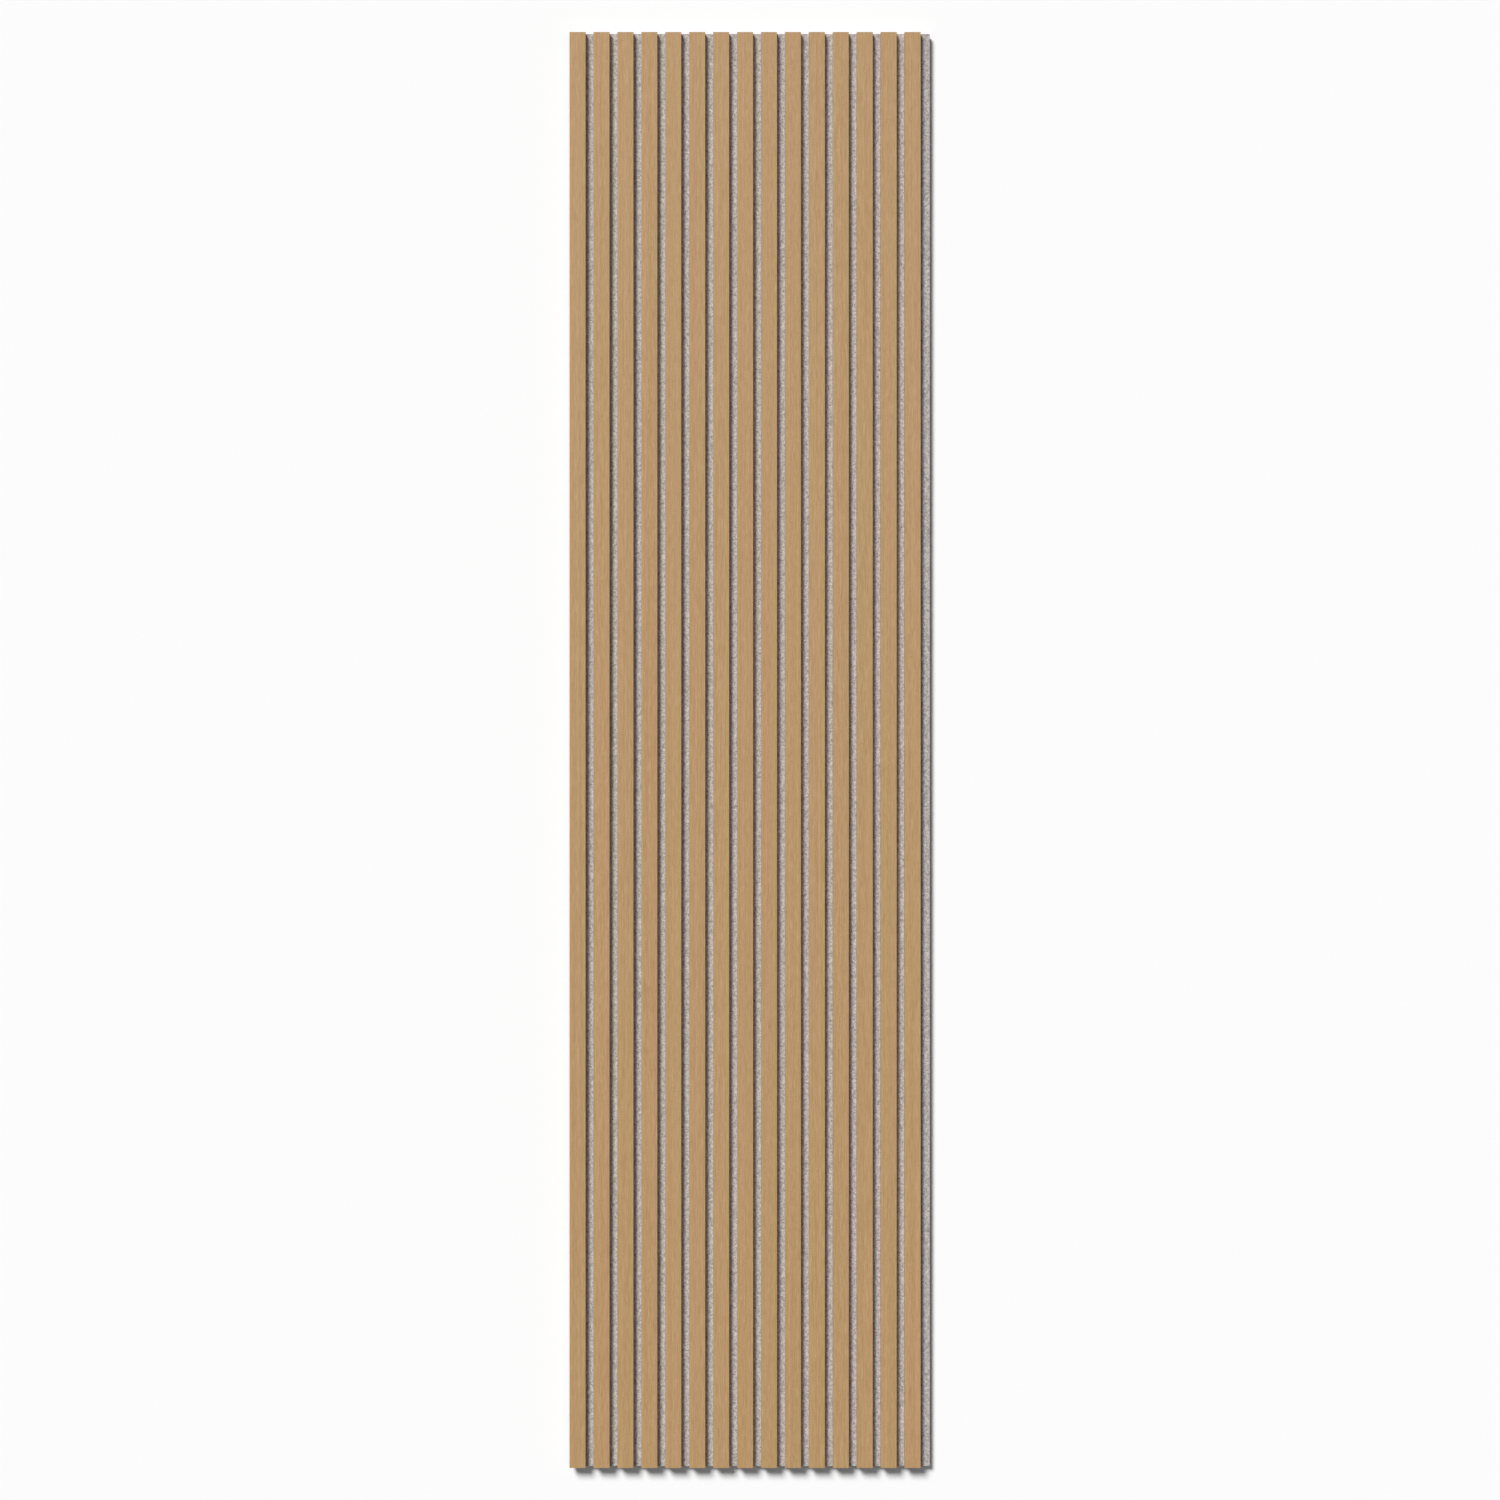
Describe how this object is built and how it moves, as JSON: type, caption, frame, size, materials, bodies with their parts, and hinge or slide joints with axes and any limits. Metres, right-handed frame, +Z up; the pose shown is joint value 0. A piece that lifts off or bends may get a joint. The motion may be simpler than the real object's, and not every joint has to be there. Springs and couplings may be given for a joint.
{
  "type": "acoustic slat wall panel",
  "caption": "Upright wall panel of oak-veneered slats on a grey felt board that absorbs sound; the felt shows in the grooves and along one edge, where the next panel joins.",
  "frame": {"origin": "centre of the felt board's back face, which lies on the wall", "axes": "+Z up along the slats, +X to the right as seen from the room, +Y into the wall; the slats face the room along -Y"},
  "size_m": [0.603, 0.021, 2.4],
  "materials": {
    "oak_veneer": "matt lacquered oak veneer with a fine straight grain",
    "fibreboard": "raw sawn medium-density fibreboard",
    "grey_felt": "pressed polyester felt, heathered light grey",
    "staple_steel": "galvanised flat staple wire"
  },
  "bodies": {
    "root": {"felt_backing": "grey_felt", "slat_core_01": "fibreboard", "slat_veneer_01": "oak_veneer", "slat_core_02": "fibreboard", "slat_veneer_02": "oak_veneer", "slat_core_03": "fibreboard", "slat_veneer_03": "oak_veneer", "slat_core_04": "fibreboard", "slat_veneer_04": "oak_veneer", "slat_core_05": "fibreboard", "slat_veneer_05": "oak_veneer", "slat_core_06": "fibreboard", "slat_veneer_06": "oak_veneer", "slat_core_07": "fibreboard", "slat_veneer_07": "oak_veneer", "slat_core_08": "fibreboard", "slat_veneer_08": "oak_veneer", "slat_core_09": "fibreboard", "slat_veneer_09": "oak_veneer", "slat_core_10": "fibreboard", "slat_veneer_10": "oak_veneer", "slat_core_11": "fibreboard", "slat_veneer_11": "oak_veneer", "slat_core_12": "fibreboard", "slat_veneer_12": "oak_veneer", "slat_core_13": "fibreboard", "slat_veneer_13": "oak_veneer", "slat_core_14": "fibreboard", "slat_veneer_14": "oak_veneer", "slat_core_15": "fibreboard", "slat_veneer_15": "oak_veneer", "staples": "staple_steel"}
  },
  "joints": []
}
